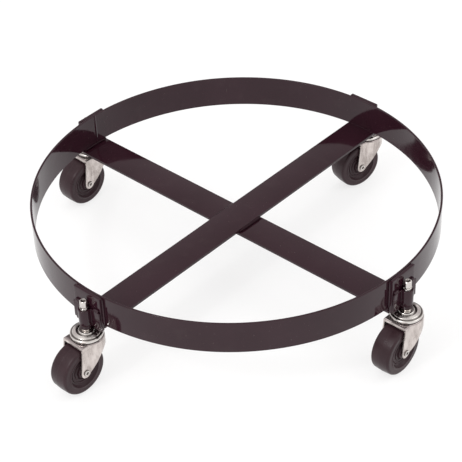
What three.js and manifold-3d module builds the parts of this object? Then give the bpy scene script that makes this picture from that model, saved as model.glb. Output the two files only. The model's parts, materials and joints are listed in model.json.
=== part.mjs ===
// Drum dolly: a steel hoop on two crossed flat bars, carried by four swivel casters.
// Millimetres, +Z up. The origin is on the hoop's axis, at floor level.
import * as THREE from 'three';
import { mergeVertices } from 'three/addons/utils/BufferGeometryUtils.js';
import Module from 'manifold-3d';

const wasm = await Module();
wasm.setup();

// ---------------------------------------------------------------- driving dimensions
// Pieces that bear on each other are drawn this far apart.
const GAP = 0.3;

// The frame. Its heights count from the hoop's lower edge, and so do the casters'.
const HOOP = { radius: 305, stock: 3.2, height: 50.8 };
const BAR = { width: 50.8, stock: 4.8 };
const END_PLATE = { stock: 4.8, drop: 10, corner: 6 };
const SOCKET = { bore: 6, stock: 3, height: 28.4, drop: 1.6, bend: 1.8, standoff: 0.6 };
const COLLAR = { bottom: -7.2, round: 2.2, bevel: 0.7 };

// The caster's fixed half.
const STEM = {
  radius: 5.55, top: 41, chamfer: 1, dishRim: 3.55, dish: 1.6, shoulder: -10.4,
  flange: 6.4, flangeTop: -7.5, flangeEase: 0.8,
  groove: 4.5, grooveHeight: 3.6,
  head: -27.6, headRadius: 6.4, headFoot: 5.2, headBevel: 1, headHeight: 1.9,
};
const GRIP_RING = { standout: 0.8, height: 3, slot: 48 };
const RACEWAY = {
  boss: 11, bossTop: -10.7, bossWall: 10, bossStock: 1.8, valleyStart: 12.2, valleyEnd: 13.2,
  valleyTop: -12.8, crestStart: 14.6, crestEnd: 19.8, crestTop: -11.9, brimStart: 20.5,
  brimTop: -13.2, brimEnd: 23.2, brimFoot: -14.5, radius: 24, shoulder: -15.6, foot: -18,
  underside: -14.4, undersideEnd: 20.3, bend: 21.2, bendTop: -14.9, skirtStock: 1.6, skirtTop: -16.2,
};
const BALL_ROW = { radius: 19.6, ball: 2.3, centre: -17.2 };
const LOWER_CUP = { radius: 14.6, floor: 12.4, stock: 1.6, depth: 3.1, lip: 2, ease: 1.2 };

// The caster's turning half.
const FORK = {
  stock: 2, top: -20, radius: 25, front: 27, halfWidth: 19.6, lip: 3.4,
  heelDrop: 15, knee: 15, kneeDrop: 16, ankle: 2, ankleDrop: 24,
  legEnd: 8.6, legStart: 212, legStop: 365, toe: 31.5, toeRise: 8,
};
const KINGPIN = { radius: 4.5, clearance: 0.5 };
const AXLE = { radius: 3.9, trail: 23.5, drop: 66.2, head: 4.9, rim: 0.7, dome: 1.8, crown: 3.2, bore: 1.9 };
const SLEEVE_RADIUS = 5.8;
const WHEEL = {
  radius: 38.1, halfWidth: 15.9, hub: 10.2, hubStandout: 0.3, hubEase: 1, web: 23.5, webRecess: 4.4,
  wall: 26.8, wallRecess: 0.3, wallEnd: 34, shoulder: 36.9, shoulderDrop: 2.6, tread: 37.8, treadDrop: 8,
};

// One caster per corner: where it stands around the hoop, and which way its wheel trails.
const CORNERS = [
  { name: 'front_left', azimuth: 225, trail: 223 },
  { name: 'front_right', azimuth: 315, trail: 225 },
  { name: 'rear_right', azimuth: 45, trail: 211 },
  { name: 'rear_left', azimuth: 135, trail: 223 },
];

// How many flats stand for each round shape.
const FACETS = {
  hoop: 80, wheel: 30, raceway: 20, collar: 16, ballRow: 16, ball: 5, cup: 14, sleeve: 14,
  stem: 12, hole: 12, rivet: 10, crownArc: 9, socketArc: 7, ringArc: 7, legArc: 6, cornerArc: 3,
};

// ---------------------------------------------------------------- places worked out from them
const HOOP_BOTTOM = WHEEL.radius + AXLE.drop;
const HOOP_INSIDE = HOOP.radius - HOOP.stock;
const END_PLATE_INSIDE = HOOP.radius + GAP;
const SOCKET_BACK = END_PLATE_INSIDE + END_PLATE.stock + GAP;
const SOCKET_OUTER = SOCKET.bore + SOCKET.stock;
const SOCKET_MOUTH = SOCKET.height - SOCKET.drop;
const STEM_CENTRE = SOCKET_BACK + SOCKET.bore + SOCKET.standoff;

const QUARTER_TURN = Math.PI / 2;
const HALF_TURN = Math.PI;
const FULL_TURN = 2 * Math.PI;

// ---------------------------------------------------------------- materials
const paint = new THREE.MeshStandardMaterial({ color: 0x2e2529, roughness: 0.22, metalness: 0.1 });
const zinc = new THREE.MeshStandardMaterial({ color: 0xb7afa8, roughness: 0.42, metalness: 0.9 });
const polished = new THREE.MeshStandardMaterial({ color: 0xcfcac6, roughness: 0.18, metalness: 1 });
const rubber = new THREE.MeshStandardMaterial({ color: 0x3c3335, roughness: 0.62, metalness: 0 });

// ---------------------------------------------------------------- helpers
function radians(degrees) {
  return THREE.MathUtils.degToRad(degrees);
}

function extrude(shape, depth, curveSegments) {
  return new THREE.ExtrudeGeometry(shape, { depth, curveSegments, bevelEnabled: false });
}

// Turns a geometry drawn in the XY plane and thickened along +Z so that drawn X runs along Y,
// drawn Y runs up, and the thickness runs along +X.
function faceOutwards(geometry) {
  const basis = new THREE.Matrix4().makeBasis(
    new THREE.Vector3(0, 1, 0),
    new THREE.Vector3(0, 0, 1),
    new THREE.Vector3(1, 0, 0),
  );
  return geometry.applyMatrix4(basis);
}

// Turns the same kind of geometry so that drawn Y runs up, and centres its thickness on the
// XZ plane.
function faceSideways(geometry, thickness) {
  return geometry.rotateX(QUARTER_TURN).translate(0, thickness / 2, 0);
}

// Turns a profile of [radius, height] pairs about +Z. A ring's profile closes on itself.
function turn(profile, segments) {
  const points = profile.map(([radius, height]) => new THREE.Vector2(radius, height));
  return new THREE.LatheGeometry(points, segments).rotateX(QUARTER_TURN);
}

function turnRing(profile, segments) {
  return turn([...profile, profile[0]], segments);
}

function toSolid(geometry) {
  const bare = geometry.clone();
  bare.deleteAttribute('normal');
  bare.deleteAttribute('uv');
  const merged = mergeVertices(bare);
  return new wasm.Manifold(new wasm.Mesh({
    numProp: 3,
    vertProperties: new Float32Array(merged.attributes.position.array),
    triVerts: new Uint32Array(merged.index.array),
  }));
}

function toGeometry(solid) {
  const mesh = solid.getMesh();
  const geometry = new THREE.BufferGeometry();
  geometry.setAttribute('position', new THREE.BufferAttribute(mesh.vertProperties, 3));
  geometry.setIndex(new THREE.BufferAttribute(mesh.triVerts, 1));
  return geometry;
}

function addPart(parent, name, geometry, material, z = 0) {
  const mesh = new THREE.Mesh(geometry, material);
  mesh.name = name;
  mesh.position.z = z;
  parent.add(mesh);
  return mesh;
}

// ---------------------------------------------------------------- frame
// The hoop is a flat band rolled on edge.
function hoopGeometry() {
  return turnRing([
    [HOOP_INSIDE, 0],
    [HOOP.radius, 0],
    [HOOP.radius, HOOP.height],
    [HOOP_INSIDE, HOOP.height],
  ], FACETS.hoop);
}

// The upper bar lies with its top level with the hoop's lower edge. Each end, from just
// inside the hoop outwards, is pressed down by the gap so that the hoop can stand on it.
function upperBarGeometry() {
  const seat = Math.sqrt(HOOP_INSIDE ** 2 - (BAR.width / 2) ** 2) - GAP;
  const shape = new THREE.Shape();
  shape.moveTo(-HOOP.radius, -BAR.stock);
  shape.lineTo(HOOP.radius, -BAR.stock);
  shape.lineTo(HOOP.radius, -GAP);
  shape.lineTo(seat, -GAP);
  shape.lineTo(seat, 0);
  shape.lineTo(-seat, 0);
  shape.lineTo(-seat, -GAP);
  shape.lineTo(-HOOP.radius, -GAP);
  shape.closePath();
  return faceSideways(extrude(shape, BAR.width, 1), BAR.width);
}

// The lower bar crosses beneath the upper one.
function lowerBarGeometry() {
  const centre = -GAP - 1.5 * BAR.stock;
  return new THREE.BoxGeometry(2 * HOOP.radius, BAR.width, BAR.stock).translate(0, 0, centre);
}

// An upright plate as wide as the bar, with its two lower corners rounded off.
function endPlateGeometry() {
  const half = BAR.width / 2;
  const { corner, drop, stock } = END_PLATE;
  const cornerHeight = corner - drop;
  const shape = new THREE.Shape();
  shape.moveTo(half, HOOP.height);
  shape.lineTo(-half, HOOP.height);
  shape.absarc(corner - half, cornerHeight, corner, HALF_TURN, HALF_TURN + QUARTER_TURN, false);
  shape.absarc(half - corner, cornerHeight, corner, HALF_TURN + QUARTER_TURN, FULL_TURN, false);
  shape.closePath();
  return faceOutwards(extrude(shape, stock, FACETS.cornerArc)).translate(END_PLATE_INSIDE, 0, 0);
}

// A hat section seen from above: two flanges flat on the plate, and a bulge around the stem.
function socketGeometry() {
  const half = BAR.width / 2;
  const flange = SOCKET_BACK + SOCKET.stock;
  const { bore, bend } = SOCKET;
  const shape = new THREE.Shape();
  shape.moveTo(SOCKET_BACK, -half);
  shape.lineTo(flange, -half);
  shape.absarc(flange + bend, -SOCKET_OUTER - bend, bend, HALF_TURN, QUARTER_TURN, true);
  shape.absarc(STEM_CENTRE, 0, SOCKET_OUTER, -QUARTER_TURN, QUARTER_TURN, false);
  shape.absarc(flange + bend, SOCKET_OUTER + bend, bend, -QUARTER_TURN, -HALF_TURN, true);
  shape.lineTo(flange, half);
  shape.lineTo(SOCKET_BACK, half);
  shape.lineTo(SOCKET_BACK, bore);
  shape.absarc(STEM_CENTRE, 0, bore, QUARTER_TURN, -QUARTER_TURN, true);
  shape.lineTo(SOCKET_BACK, -bore);
  shape.closePath();
  return extrude(shape, SOCKET.height, FACETS.socketArc);
}

// A collar with a rounded lower edge, between the socket and the raceway. Its back is cut
// flat where it stands against the end plate.
function collarGeometry() {
  const { bottom, round, bevel } = COLLAR;
  const top = -SOCKET.drop - GAP;
  const outer = SOCKET_OUTER - GAP;
  const inner = STEM.radius + GAP;
  const ring = turnRing([
    [inner, bottom],
    [outer - round, bottom],
    [outer - bevel, bottom + bevel],
    [outer, bottom + round],
    [outer, top],
    [inner, top],
  ], FACETS.collar);
  const reach = 4 * outer;
  const behind = new THREE.BoxGeometry(reach, reach, reach)
    .translate(SOCKET_BACK - STEM_CENTRE - reach / 2, 0, 0);
  return toGeometry(toSolid(ring).subtract(toSolid(behind)));
}

// ---------------------------------------------------------------- caster, about its stem
// The stem's lower end is upset into a rivet head, a flange stands on the raceway, the shank
// has a groove for the grip ring, and the top end is dished.
function stemGeometry() {
  const { radius, flange, head, headFoot, headRadius, groove, top } = STEM;
  const headTop = head + STEM.headHeight;
  const grooveLow = SOCKET_MOUTH + GAP;
  const grooveHigh = grooveLow + STEM.grooveHeight;
  return turn([
    [0, head],
    [headFoot, head],
    [headRadius, head + STEM.headBevel],
    [headRadius, headTop],
    [KINGPIN.radius, headTop],
    [KINGPIN.radius, STEM.shoulder],
    [flange, STEM.shoulder],
    [flange, STEM.flangeTop - STEM.flangeEase],
    [flange - STEM.flangeEase, STEM.flangeTop],
    [radius, STEM.flangeTop],
    [radius, grooveLow],
    [groove, grooveLow],
    [groove, grooveHigh],
    [radius, grooveHigh],
    [radius, top - STEM.chamfer],
    [radius - STEM.chamfer, top],
    [STEM.dishRim, top],
    [0, top - STEM.dish],
  ], FACETS.stem);
}

// A spring ring with a slot, sitting in the stem's groove just above the socket.
function gripRingGeometry() {
  const start = radians(GRIP_RING.slot / 2);
  const end = FULL_TURN - start;
  const shape = new THREE.Shape();
  shape.absarc(0, 0, STEM.radius + GRIP_RING.standout, start, end, false);
  shape.absarc(0, 0, STEM.groove + GAP, end, start, true);
  shape.closePath();
  return extrude(shape, GRIP_RING.height, FACETS.ringArc).translate(0, 0, SOCKET_MOUTH + 2 * GAP);
}

// The upper raceway: a flat boss, a narrow valley, a broad flat crest and a lower brim
// with a skirt that covers the balls.
function racewayGeometry() {
  const { boss, bossTop, bossWall, bossStock, valleyStart, valleyEnd, valleyTop } = RACEWAY;
  const { crestStart, crestEnd, crestTop, brimStart, brimTop, brimEnd, brimFoot } = RACEWAY;
  const { radius, shoulder, foot, underside, undersideEnd, bend, bendTop } = RACEWAY;
  const inner = KINGPIN.radius + GAP;
  const skirtInside = radius - RACEWAY.skirtStock;
  return turnRing([
    [inner, bossTop - bossStock],
    [bossWall, bossTop - bossStock],
    [boss, underside],
    [undersideEnd, underside],
    [bend, bendTop],
    [skirtInside, RACEWAY.skirtTop],
    [skirtInside, foot],
    [radius, foot],
    [radius, shoulder],
    [brimEnd, brimFoot],
    [brimStart, brimTop],
    [crestEnd, crestTop],
    [crestStart, crestTop],
    [valleyEnd, valleyTop],
    [valleyStart, valleyTop],
    [boss, bossTop],
    [inner, bossTop],
  ], FACETS.raceway);
}

// The full row of bearing balls, drawn as one ring of their size.
function ballRowGeometry() {
  const { radius, ball, centre } = BALL_ROW;
  return new THREE.TorusGeometry(radius, ball, FACETS.ball, FACETS.ballRow).translate(0, 0, centre);
}

// The lower cup holds the crown up against the balls, under the rivet head's pull.
function lowerCupGeometry() {
  const { radius, floor, stock, depth, lip, ease } = LOWER_CUP;
  const inner = KINGPIN.radius + GAP;
  const top = FORK.top - FORK.stock - GAP;
  const bottom = top - depth;
  return turnRing([
    [inner, bottom],
    [floor, bottom],
    [radius, top],
    [radius - lip, top],
    [radius - lip - ease, bottom + stock],
    [inner, bottom + stock],
  ], FACETS.cup);
}

// The crown's outline from above, with +X towards the trailing wheel: straight sides and
// front, and a round back. An inset gives the inside of the sheet.
function crownOutline(inset, front) {
  const radius = FORK.radius - inset;
  const half = FORK.halfWidth - inset;
  const meet = Math.asin(half / radius);
  const shape = new THREE.Shape();
  shape.moveTo(front, -half);
  shape.lineTo(front, half);
  shape.absarc(0, 0, radius, meet, FULL_TURN - meet, false);
  shape.closePath();
  return shape;
}

// The fork's side view: level crown, sloping toe, a round end about the axle, and an edge
// that climbs from the axle to the skirt behind the crown.
function forkSideShape() {
  const { top, front, toe, toeRise, heelDrop, knee, kneeDrop, ankle, ankleDrop } = FORK;
  const behind = FORK.radius + FORK.stock;
  const shape = new THREE.Shape();
  shape.moveTo(front, top);
  shape.lineTo(-behind, top);
  shape.lineTo(-behind, top - heelDrop);
  shape.lineTo(-knee, top - kneeDrop);
  shape.lineTo(-ankle, top - ankleDrop);
  shape.absarc(AXLE.trail, -AXLE.drop, FORK.legEnd, radians(FORK.legStart), radians(FORK.legStop), false);
  shape.lineTo(toe, toeRise - AXLE.drop);
  shape.closePath();
  return shape;
}

// The pressing is its outline from above, less the same outline drawn in by the sheet's
// thickness, kept only where the side view has metal, with a short lip along the front.
function forkGeometry() {
  const { stock, top, front, halfWidth, lip } = FORK;
  const reach = 2 * front;
  const deep = 2 * AXLE.drop;
  const wide = 4 * halfWidth;
  const outside = extrude(crownOutline(0, reach), deep, FACETS.crownArc).translate(0, 0, top - deep);
  const inside = extrude(crownOutline(stock, reach + stock), deep, FACETS.crownArc)
    .translate(0, 0, top - stock - deep);
  const side = faceSideways(extrude(forkSideShape(), wide, FACETS.legArc), wide);
  const frontLip = new THREE.BoxGeometry(stock, 2 * halfWidth - stock, lip)
    .translate(front - stock / 2, 0, top - lip / 2);
  const kingHoleRadius = KINGPIN.radius + KINGPIN.clearance;
  const kingHole = new THREE.CylinderGeometry(kingHoleRadius, kingHoleRadius, deep, FACETS.hole)
    .rotateX(QUARTER_TURN);
  const axleHoleRadius = AXLE.radius + GAP;
  const axleHole = new THREE.CylinderGeometry(axleHoleRadius, axleHoleRadius, wide, FACETS.hole)
    .translate(AXLE.trail, 0, -AXLE.drop);
  const pressing = toSolid(outside)
    .subtract(toSolid(inside))
    .intersect(toSolid(side))
    .add(toSolid(frontLip));
  return toGeometry(pressing.subtract(toSolid(kingHole)).subtract(toSolid(axleHole)));
}

// ---------------------------------------------------------------- wheel and axle
// Profiles here are [radius, place along the axle]. This turns the axle from +Z to +Y and
// moves it to its place behind the stem.
function layOver(geometry) {
  return geometry.rotateX(-QUARTER_TURN).translate(AXLE.trail, 0, -AXLE.drop);
}

// Half of the wheel's outline, from the bore out to the tread's edge: a hub boss, a recessed
// web, a flat side wall and a rounded shoulder. The other half mirrors it.
function wheelGeometry() {
  const { radius, halfWidth, hub, hubStandout, hubEase, web, webRecess } = WHEEL;
  const { wall, wallRecess, wallEnd, shoulder, shoulderDrop, tread, treadDrop } = WHEEL;
  const half = [
    [SLEEVE_RADIUS + GAP, halfWidth + hubStandout],
    [hub, halfWidth + hubStandout],
    [hub + hubEase, halfWidth - webRecess],
    [web, halfWidth - webRecess],
    [wall, halfWidth - wallRecess],
    [wallEnd, halfWidth],
    [shoulder, halfWidth - shoulderDrop],
    [tread, halfWidth - treadDrop],
  ];
  const mirrored = half.map(([across, along]) => [across, -along]);
  return layOver(turnRing([...mirrored, [radius, 0], ...half.reverse()], FACETS.wheel));
}

// The sleeve that the wheel turns on, clamped between the fork's legs.
function sleeveGeometry() {
  const half = FORK.halfWidth - FORK.stock - GAP;
  return layOver(turnRing([
    [AXLE.radius + GAP, -half],
    [SLEEVE_RADIUS, -half],
    [SLEEVE_RADIUS, half],
    [AXLE.radius + GAP, half],
  ], FACETS.sleeve));
}

// A rivet right through the fork, with a domed head at each end and a drilled nose.
function axleRivetGeometry() {
  const { radius, head, rim, dome, crown, bore } = AXLE;
  const seat = FORK.halfWidth + GAP;
  const end = seat + dome;
  return layOver(turn([
    [0, -end],
    [crown, -end],
    [head, -seat - rim],
    [head, -seat],
    [radius, -seat],
    [radius, seat],
    [head, seat],
    [head, seat + rim],
    [crown, end],
    [bore, end],
    [bore, seat],
    [0, seat],
  ], FACETS.rivet));
}

// ---------------------------------------------------------------- assembly
const dolly = new THREE.Group();

addPart(dolly, 'hoop', hoopGeometry(), paint, HOOP_BOTTOM);
const upperBar = addPart(dolly, 'cross_bar_upper', upperBarGeometry(), paint, HOOP_BOTTOM);
upperBar.rotation.z = radians(45);
const lowerBar = addPart(dolly, 'cross_bar_lower', lowerBarGeometry(), paint, HOOP_BOTTOM);
lowerBar.rotation.z = radians(-45);

for (const { name, azimuth, trail } of CORNERS) {
  const corner = new THREE.Group();
  corner.rotation.z = radians(azimuth);
  corner.position.z = HOOP_BOTTOM;
  dolly.add(corner);
  addPart(corner, `end_plate_${name}`, endPlateGeometry(), paint);
  addPart(corner, `stem_socket_${name}`, socketGeometry(), paint, -SOCKET.drop);

  const stand = new THREE.Group();
  stand.position.x = STEM_CENTRE;
  corner.add(stand);
  addPart(stand, `collar_${name}`, collarGeometry(), paint);

  const caster = new THREE.Group();
  caster.rotation.z = radians(trail - azimuth);
  stand.add(caster);
  addPart(caster, `stem_${name}`, stemGeometry(), zinc);
  addPart(caster, `grip_ring_${name}`, gripRingGeometry(), polished);
  addPart(caster, `raceway_${name}`, racewayGeometry(), polished);
  addPart(caster, `ball_row_${name}`, ballRowGeometry(), polished);
  addPart(caster, `lower_cup_${name}`, lowerCupGeometry(), zinc);
  addPart(caster, `fork_${name}`, forkGeometry(), zinc);
  addPart(caster, `axle_rivet_${name}`, axleRivetGeometry(), zinc);
  addPart(caster, `hub_sleeve_${name}`, sleeveGeometry(), zinc);
  addPart(caster, `wheel_${name}`, wheelGeometry(), rubber);
}

export default dolly;
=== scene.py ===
# %% [markdown]
# # A drum dolly, made as surfaces
# The dolly is a flat steel hoop on two crossed bars, with a swivel caster at each bar end.
# The solid model already fixes every size, joint and place. This lesson loads it as a frame
# that never moves, and lays finer surfaces over it, worked out as functions on a grid.

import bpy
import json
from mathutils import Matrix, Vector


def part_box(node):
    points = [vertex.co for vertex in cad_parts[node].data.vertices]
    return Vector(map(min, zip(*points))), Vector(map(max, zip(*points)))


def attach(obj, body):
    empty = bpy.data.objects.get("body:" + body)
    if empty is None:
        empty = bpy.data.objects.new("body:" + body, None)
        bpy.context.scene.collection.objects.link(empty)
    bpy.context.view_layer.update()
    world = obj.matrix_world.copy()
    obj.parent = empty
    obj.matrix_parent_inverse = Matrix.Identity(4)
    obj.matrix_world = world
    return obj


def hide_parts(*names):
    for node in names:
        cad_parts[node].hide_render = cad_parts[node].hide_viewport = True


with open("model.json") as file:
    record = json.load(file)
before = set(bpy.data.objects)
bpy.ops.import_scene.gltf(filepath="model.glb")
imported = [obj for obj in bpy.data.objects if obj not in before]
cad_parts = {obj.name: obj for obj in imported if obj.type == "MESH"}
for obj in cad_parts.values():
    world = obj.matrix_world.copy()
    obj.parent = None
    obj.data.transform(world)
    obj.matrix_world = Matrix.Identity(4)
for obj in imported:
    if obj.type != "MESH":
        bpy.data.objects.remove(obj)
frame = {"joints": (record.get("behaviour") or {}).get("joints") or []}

# %% Tools
import json
import math

import bmesh
import bpy
import numpy as np
from mathutils import Matrix

mm = 0.001
up = np.array([0.0, 0.0, 1.0])
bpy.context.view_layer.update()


def unit(vectors):
    """Each vector divided by its own length."""
    return vectors / np.linalg.norm(vectors, axis=-1, keepdims=True)


# %% [markdown]
# ## Where things are
# The hoop's box gives its radius and heights. Each caster has two joints: one turns it about
# its stem, and the other rolls its wheel. Their places and axes are all that is needed to
# put a caster's pieces where the solids are, so no place is typed in by hand.

# %% Read the hoop and the four corners from the frame
def heights(node):
    """The lowest and highest z of a solid at rest."""
    low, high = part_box(node)
    return low[2], high[2]


hoop_low, hoop_high = (np.array(corner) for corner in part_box("hoop"))
hoop_radius = (hoop_high[0] - hoop_low[0]) / 2
hoop_bottom = hoop_low[2]
hoop_height = hoop_high[2] - hoop_low[2]
joints = {joint["name"]: joint for joint in frame["joints"]}
corners = {}
for corner_name in ("front_left", "front_right", "rear_right", "rear_left"):
    roll = joints["roll_" + corner_name]
    stem = np.array([*joints["turn_" + corner_name]["pos_m"][:2], 0])
    axle = np.array(roll["pos_m"])
    trail = (axle - stem) * [1, 1, 0]
    corners[corner_name] = {
        "stem": stem,
        "outward": unit(stem),
        "beside": np.cross(up, unit(stem)),
        "axle": axle,
        "axle_line": np.array(roll["axis"]),
        "ahead": unit(trail),
        "trail": np.linalg.norm(trail),
    }
print("hoop radius", round(hoop_radius, 4), "bottom", round(hoop_bottom, 4), "corners", list(corners))

# %% [markdown]
# ## From a grid of points to a piece
# A surface is a grid: row i, column j. Four neighbouring points make one face, and a grid can
# close on itself in either direction. Doubled points at a pole are merged afterwards, which
# closes it. Each piece also keeps where each point is in the piece's own small frame, as an
# attribute called spot, so that turned marks can follow a round piece wherever it stands.

# %% Join a grid into faces, and make a piece of it
def weave(rows, columns, close_rows=False, close_columns=True):
    """Faces between grid points (i, j), (i, j+1), (i+1, j+1) and (i+1, j)."""
    i = np.arange(rows if close_rows else rows - 1)
    j = np.arange(columns if close_columns else columns - 1)
    i, j = np.meshgrid(i, j, indexing="ij")
    next_i = (i + 1) % rows
    next_j = (j + 1) % columns
    loop = [i * columns + j, i * columns + next_j, next_i * columns + next_j, next_i * columns + j]
    return np.stack(loop, axis=-1).reshape(-1, 4)


def make_piece(name, parts, material, body, stands_for=(), sharp=35):
    """One mesh of several woven grids; parts holds (points, faces, spots) for each of them.
    Doubled points are merged first, and then every face is turned to point outwards."""
    points, faces, spots, count = [], [], [], 0
    for grid, woven, spot in parts:
        grid = grid.reshape(-1, 3)
        points.append(grid)
        spots.append(spot.reshape(-1, 3))
        faces.append(woven + count)
        count += len(grid)
    mesh = bpy.data.meshes.new(name)
    mesh.from_pydata(np.concatenate(points).tolist(), [], np.concatenate(faces).tolist())
    spot_layer = mesh.attributes.new("spot", "FLOAT_VECTOR", "POINT")
    spot_layer.data.foreach_set("vector", np.concatenate(spots).astype(np.float32).ravel())
    cleaned = bmesh.new()
    cleaned.from_mesh(mesh)
    bmesh.ops.remove_doubles(cleaned, verts=cleaned.verts, dist=2e-6)
    bmesh.ops.recalc_face_normals(cleaned, faces=cleaned.faces)
    cleaned.to_mesh(mesh)
    cleaned.free()
    mesh.shade_smooth()
    mesh.set_sharp_from_angle(angle=math.radians(sharp))
    mesh.materials.append(material)
    piece = bpy.data.objects.new(name, mesh)
    bpy.context.scene.collection.objects.link(piece)
    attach(piece, body)
    if stands_for:
        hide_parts(*stands_for)
    print(name, "points", len(mesh.vertices), "faces", len(mesh.polygons))
    return piece


print("a grid of 2 by 3 points has", len(weave(2, 3, close_columns=False)), "faces")

# %% [markdown]
# ## Rounded outlines
# Nothing pressed, rolled or moulded has a knife edge. An outline is written as its few real
# corners, and every corner is then swapped for a short curve.

# %% Round off the corners of an outline
def soften(outline, trim, steps=4, closed=True):
    """Each corner becomes a quadratic Bezier curve: it starts and ends one trim length from
    the corner, along the two sides, and the corner itself is the middle control point."""
    outline = np.array(outline, dtype=float)
    back = np.roll(outline, 1, axis=0) - outline
    forward = np.roll(outline, -1, axis=0) - outline
    back_length = np.linalg.norm(back, axis=1, keepdims=True)
    forward_length = np.linalg.norm(forward, axis=1, keepdims=True)
    reach = np.minimum(np.reshape(trim, (-1, 1)), 0.45 * np.minimum(back_length, forward_length))
    if not closed:
        reach[[0, -1]] = 0
    start = (outline + back / back_length * reach)[:, None]
    end = (outline + forward / forward_length * reach)[:, None]
    t = np.linspace(0, 1, steps + 1)[None, :, None]
    curve = (1 - t) ** 2 * start + 2 * t * (1 - t) * outline[:, None] + t**2 * end
    return curve.reshape(-1, outline.shape[1])


def running_length(path):
    """The distance travelled along a path at each of its points, starting from 0."""
    steps = np.linalg.norm(np.diff(path, axis=0), axis=1)
    return np.concatenate([[0], np.cumsum(steps)])


def resample(path, count):
    """Spreads points evenly along a path, by its running length."""
    run = running_length(path)
    even = np.linspace(0, run[-1], count)
    return np.stack([np.interp(even, run, path[:, k]) for k in range(path.shape[1])], axis=1)


print("a softened square has", len(soften([[0, 0], [1, 0], [1, 1], [0, 1]], 0.1)), "points")

# %% [markdown]
# ## Three ways to carry a profile
# A stem, a raceway and a wheel are turned: a profile goes round an axis. A bar and a strap
# are a rounded rectangle carried along a path. A weld bead is a round section carried along
# a seam, swelling and shrinking as the weld pool moved on.

# %% Turn a profile about an axis
def turned(profile, foot, axis, first, turns, closed=True):
    """point = foot + height * axis + radius * (cos a * first + sin a * second)."""
    profile = np.asarray(profile)
    second = np.cross(axis, first)
    a = np.linspace(0, 2 * np.pi, turns, endpoint=False)[None, :]
    radius, height = profile[:, :1], profile[:, 1:2]
    local = np.stack([radius * np.cos(a), radius * np.sin(a), height + 0 * a], axis=-1)
    grid = foot + local @ np.stack([first, second, axis])
    return grid, weave(len(profile), turns, close_rows=closed), local


tube_grid = turned([[1, 0], [1, 1]], 0 * up, up, np.array([1.0, 0.0, 0.0]), turns=8)[0]
print("a line turned in 8 steps is a grid of", tube_grid.shape[:2])

# %% Carry a rounded rectangle along a path
def strap(path, across, normal, width, thickness, edge):
    """At each path point the section is a rounded rectangle: width along across, thickness
    along normal. The last rows at each end draw in by r * (1 - sin t) while they move out by
    r * cos t, then close on the middle line, so the ends are rounded and shut. A station is
    the path point that a row takes its directions from."""
    along = unit(np.gradient(path, axis=0))
    turn_in = np.linspace(np.pi / 2, 0, 4)
    draw = np.append(edge * (1 - np.sin(turn_in)), thickness / 2)
    push = np.append(edge * (np.cos(turn_in) - 1), 0)
    rows = np.concatenate([
        path[:1] - along[:1] * push[::-1, None],
        path[1:-1],
        path[-1:] + along[-1:] * push[:, None],
    ])
    inset = np.concatenate([draw[::-1], np.zeros(len(path) - 2), draw])
    station = np.clip(np.arange(len(rows)) - len(draw) + 1, 0, len(path) - 1)
    across, normal = (np.broadcast_to(v, path.shape)[station, None] for v in (across, normal))
    half = np.array([width / 2, thickness / 2])
    section = soften(np.array([[-1, -1], [1, -1], [1, 1], [-1, 1]]) * half, edge, steps=3)
    nearly_shut = 1e-7
    shrink = np.maximum(half - inset[:, None], nearly_shut) / half
    flat = section * shrink[:, None]
    grid = rows[:, None] + flat[..., :1] * across + flat[..., 1:] * normal
    row_number = np.arange(1, len(rows) + 1)[:, None, None]
    spot = np.concatenate([row_number * mm + 0 * flat[..., :1], flat], axis=-1)
    return grid, weave(len(rows), len(section)), spot


trial_path = np.linspace([0.0, 0.0, 0.0], [1.0, 0.0, 0.0], 5)
trial_strap = strap(trial_path, np.array([0.0, 1.0, 0.0]), up, 0.2, 0.05, edge=0.01)
print("a strap on 5 path points is a grid of", trial_strap[0].shape[:2])

# %% Carry a swelling round section along a seam
def bead(path, lean, size, ripple, pitch):
    """radius = size * (1 + ripple * wave) * taper. The wave is a rounded saw along the seam,
    and taper = square root of 1 - (2 * share - 1)^6, so the ends close bluntly."""
    run = running_length(path)
    phase = 2 * np.pi * run / pitch
    wave = np.sin(phase + 0.6 * np.sin(phase))
    share = run / run[-1]
    taper = np.maximum(1 - (2 * share - 1) ** 6, 0) ** 0.5
    radius = size * (1 + ripple * wave) * taper
    along = unit(np.gradient(path, axis=0))
    side = unit(np.cross(along, lean))
    top = np.cross(side, along)
    a = np.linspace(0, 2 * np.pi, 12, endpoint=False)
    ring = np.cos(a)[None, :, None] * side[:, None] + np.sin(a)[None, :, None] * top[:, None]
    grid = path[:, None] + radius[:, None, None] * ring
    spot = np.stack([run[:, None] + 0 * a, a * mm + 0 * run[:, None], radius[:, None] + 0 * a], -1)
    return grid, weave(len(path), len(a)), spot


def seam(start, end, count, bow=0.0):
    """point = start + (end - start) * t + bow * 4 * t * (1 - t), so bow is met half way."""
    t = np.linspace(0, 1, count)[:, None]
    return start + (end - start) * t + bow * 4 * t * (1 - t)


trial_bead = bead(seam(0 * up, trial_path[-1], 20, 0.1 * up), up, 0.05, 0.1, 0.2)
print("a bead on 20 path points is a grid of", trial_bead[0].shape[:2])

# %% [markdown]
# ## Building a finish from nodes
# A finish is a Principled shader fed by patterns that are worked out from the object's own
# coordinates. A few short helpers keep the node code readable: they start a material, add a
# node and wire it, squeeze a pattern into the range a socket needs, and mix two colours. What
# is the same all over a surface is set on the shader's own socket, with no node before it.

# %% Helpers for finishes
def start_finish(name):
    """A new material, its node tree and its shader."""
    material = bpy.data.materials.new(name)
    material.use_nodes = True
    tree = material.node_tree
    shader = next(n for n in tree.nodes if n.type == "BSDF_PRINCIPLED")
    return material, tree, shader


def feed(tree, socket, value):
    """Links a socket to another node's output, or sets it to a plain value."""
    if isinstance(value, bpy.types.NodeSocket):
        tree.links.new(value, socket)
    else:
        socket.default_value = value


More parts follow.
